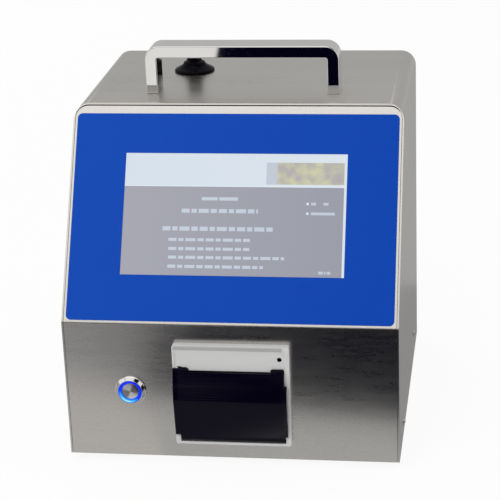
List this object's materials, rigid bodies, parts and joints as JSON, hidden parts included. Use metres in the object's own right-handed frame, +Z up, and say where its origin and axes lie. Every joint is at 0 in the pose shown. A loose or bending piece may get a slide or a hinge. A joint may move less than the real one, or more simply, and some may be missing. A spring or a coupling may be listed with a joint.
{
  "type": "airborne particle counter",
  "caption": "Portable airborne particle counter: sloped-front steel case with colour display, clamshell slip printer, lit push button, carrying handle and sampling inlet.",
  "frame": {"origin": "centre of the bounding box's bottom face, on the ground between the feet", "axes": "+X to the right as the user sees the display, +Y to the rear panel, +Z up; the display faces -Y"},
  "size_m": [0.2336, 0.246, 0.271],
  "materials": {
    "cabinet_steel": "grained satin",
    "panel_steel": "grained satin",
    "plain_steel": "zinc plated",
    "fastener_steel": "machined",
    "mirror_steel": "mirror polished",
    "polished_steel": "polished",
    "turned_steel": "turned",
    "black_rubber": "matte",
    "black_anodised": "black anodised",
    "bare_aluminium": "satin",
    "cast_aluminium": "cast",
    "brass": "satin",
    "blue_film": "satin film",
    "touch_glass": "clear gloss",
    "display_panel": "lit panel",
    "circuit_board": "solder mask",
    "white_plastic": "fine texture",
    "grey_plastic": "fine texture",
    "black_plastic": "fine texture",
    "smoked_plastic": "smoked gloss",
    "thermal_paper": "smooth",
    "white_nylon": "smooth",
    "lit_ring": "lit translucent",
    "silicone_tube": "translucent",
    "filter_plastic": "moulded",
    "battery_wrap": "shrink film",
    "connector_metal": "plated"
  },
  "bodies": {
    "case": {"case_cover": "cabinet_steel", "front_panel": "panel_steel", "base_tray": "plain_steel", "rear_panel": "cabinet_steel", "rear_screws": "fastener_steel", "side_screws": "fastener_steel", "rubber_feet": "black_rubber", "foot_screws": "fastener_steel", "handle": "mirror_steel", "handle_screws": "fastener_steel", "sampling_inlet": "black_anodised", "inlet_seal": "black_rubber", "inlet_nut": "brass", "front_film": "blue_film", "touch_panel": "touch_glass", "lcd_module": "display_panel", "display_bracket": "plain_steel", "display_nuts": "fastener_steel", "display_board": "circuit_board", "printer_bezel": "white_plastic", "printer_case": "grey_plastic", "printer_lamp": "black_plastic", "print_head": "bare_aluminium", "paper_roll": "thermal_paper", "printer_motor": "cast_aluminium", "door_pin": "fastener_steel", "button_housing": "polished_steel", "button_ring": "lit_ring", "button_nut": "fastener_steel", "button_switch": "black_plastic", "equipment_shelf": "plain_steel", "optical_sensor": "black_anodised", "laser_module": "brass", "detector_board": "circuit_board", "sample_tube": "silicone_tube", "suction_tube": "silicone_tube", "air_pump": "cast_aluminium", "exhaust_filter": "filter_plastic", "exhaust_port": "brass", "main_board": "circuit_board", "board_spacers": "brass", "power_supply": "bare_aluminium", "battery_pack": "battery_wrap", "fan_frame": "black_plastic", "fan_screws": "fastener_steel", "mains_inlet": "black_plastic", "inlet_pins": "fastener_steel", "serial_port": "connector_metal"},
    "power_button": {"button_cap": "turned_steel"},
    "printer_door": {"printer_door": "smoked_plastic"},
    "platen": {"platen_roller": "black_rubber", "platen_shaft": "fastener_steel", "platen_gear": "white_nylon"},
    "paper_drive": {"drive_gear": "white_nylon", "motor_shaft": "fastener_steel"},
    "cooling_fan": {"fan_rotor": "black_plastic"}
  },
  "joints": [
    {"name": "power_button_press", "type": "slide", "parent": "case", "child": "power_button", "axis": [0, 1, 0], "range_m": [0, 0.002], "stiffness_N_per_m": 400},
    {"name": "printer_door_hinge", "type": "hinge", "parent": "case", "child": "printer_door", "pos_m": [0, -0.1162, 0.0236], "axis": [1, 0, 0], "range_deg": [0, 85]},
    {"name": "platen_spin", "type": "hinge", "parent": "printer_door", "child": "platen", "pos_m": [0, -0.1128, 0.0674], "axis": [1, 0, 0], "continuous": true},
    {"name": "paper_drive_spin", "type": "hinge", "parent": "case", "child": "paper_drive", "pos_m": [0.035, -0.09988, 0.0674], "axis": [1, 0, 0], "continuous": true},
    {"name": "fan_spin", "type": "hinge", "parent": "case", "child": "cooling_fan", "pos_m": [0.052, 0.0968, 0.158], "axis": [0, 1, 0], "continuous": true}
  ],
  "couplings": [
    {"joint": "paper_drive_spin", "follows": "platen_spin", "ratio": -0.6}
  ]
}
